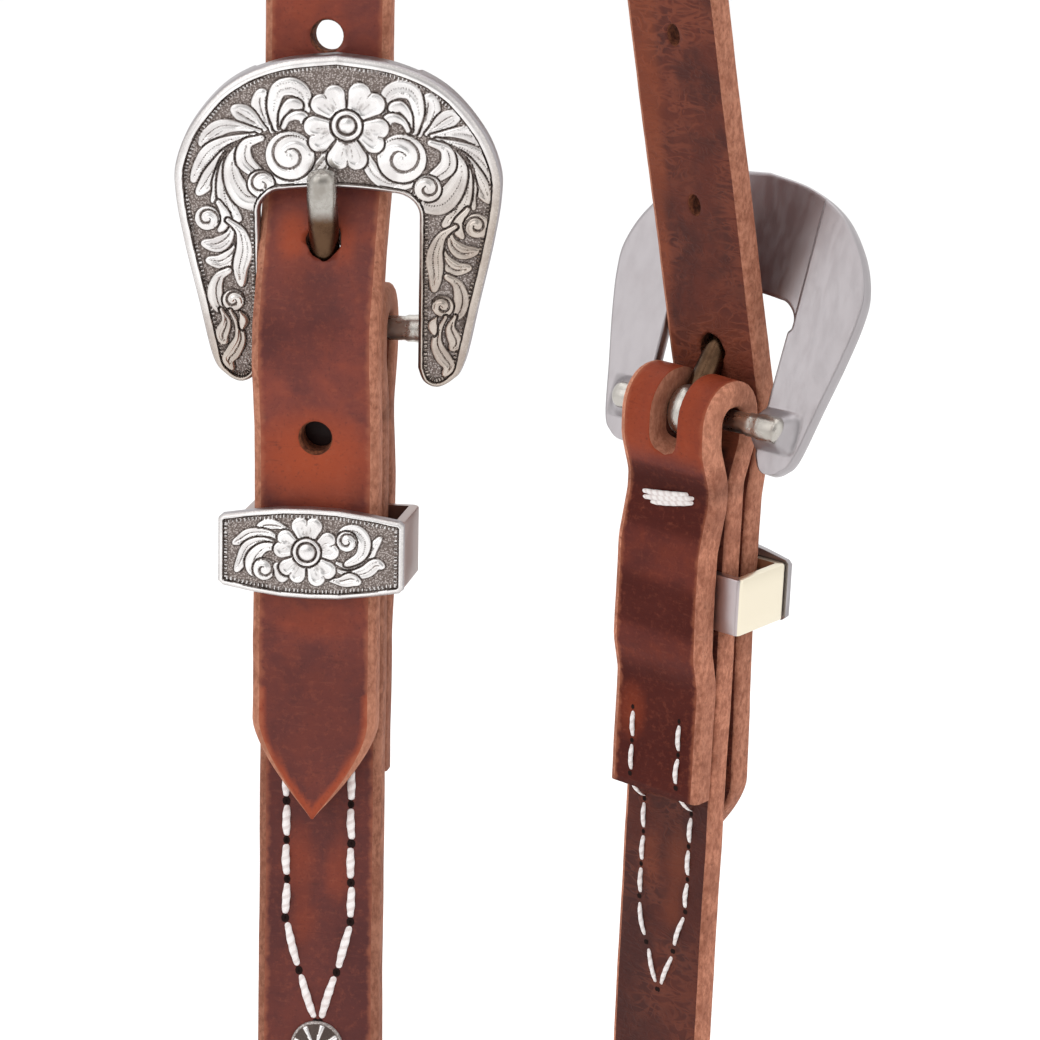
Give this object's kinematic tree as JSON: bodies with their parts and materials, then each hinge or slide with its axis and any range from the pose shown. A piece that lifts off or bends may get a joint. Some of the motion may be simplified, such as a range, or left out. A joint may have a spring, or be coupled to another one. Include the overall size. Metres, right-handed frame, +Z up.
{
  "type": "western headstall",
  "caption": "Hanging western headstall of harness leather with engraved horseshoe cheek buckles, sliding keepers, spots, a slip ear and screwed bit loops.",
  "frame": {"origin": "flesh side of the crown strap where it rests on the hook", "axes": "+Z up as the headstall hangs, +X across the crown strap, -Y towards the near cheek"},
  "size_m": [0.0925, 0.1635, 0.5123],
  "materials": {
    "harness_leather": "oiled, with dark patches and burnished edges",
    "antique_silver": "antiqued silver with a dark ground",
    "polished_nickel": "polished",
    "plated_steel": "plated, lightly worn"
  },
  "bodies": {
    "straps": {"crown_strap": "harness_leather", "near_cheek_strap": "harness_leather", "near_spot": "antique_silver", "near_screw_post_1": "polished_nickel", "near_screw_post_2": "polished_nickel", "near_screw_1": "polished_nickel", "near_screw_2": "polished_nickel", "far_cheek_strap": "harness_leather", "far_spot": "antique_silver", "far_screw_post_1": "polished_nickel", "far_screw_post_2": "polished_nickel", "far_screw_1": "polished_nickel", "far_screw_2": "polished_nickel"},
    "near_buckle": {"near_buckle_frame": "antique_silver", "near_buckle_bar": "plated_steel"},
    "near_tongue": {"near_buckle_tongue": "plated_steel"},
    "near_keeper": {"near_keeper_band": "polished_nickel", "near_keeper_plate": "antique_silver"},
    "far_buckle": {"far_buckle_frame": "antique_silver", "far_buckle_bar": "plated_steel"},
    "far_tongue": {"far_buckle_tongue": "plated_steel"},
    "far_keeper": {"far_keeper_band": "polished_nickel", "far_keeper_plate": "antique_silver"},
    "ear": {"ear_piece": "harness_leather"}
  },
  "joints": [
    {"name": "near_buckle_swing", "type": "hinge", "parent": "straps", "child": "near_buckle", "pos_m": [-0.00402, -0.00884, -0.28203], "axis": [0.9966, -0.0797, -0.0194], "range_deg": [-1.2, 1]},
    {"name": "near_tongue_swing", "type": "hinge", "parent": "near_buckle", "child": "near_tongue", "pos_m": [-0.00561, -0.00871, -0.282], "axis": [0.9966, -0.0797, -0.0194], "range_deg": [0, 1.5]},
    {"name": "near_keeper_slide", "type": "slide", "parent": "straps", "child": "near_keeper", "axis": [0.0176, -0.0238, 0.9996], "range_m": [-0.003, 0.003]},
    {"name": "far_buckle_swing", "type": "hinge", "parent": "straps", "child": "far_buckle", "pos_m": [0.04394, 0.06891, -0.30579], "axis": [-0.8293, 0.5474, 0.1123], "range_deg": [-1.2, 1]},
    {"name": "far_tongue_swing", "type": "hinge", "parent": "far_buckle", "child": "far_tongue", "pos_m": [0.04262, 0.06979, -0.30561], "axis": [-0.8293, 0.5474, 0.1123], "range_deg": [0, 1.5]},
    {"name": "far_keeper_slide", "type": "slide", "parent": "straps", "child": "far_keeper", "axis": [0.0433, -0.1375, 0.9896], "range_m": [-0.003, 0.003]},
    {"name": "ear_piece_slide", "type": "slide", "parent": "straps", "child": "ear", "axis": [0.0213, -0.0111, 0.9997], "range_m": [-0.025, 0.025]}
  ]
}
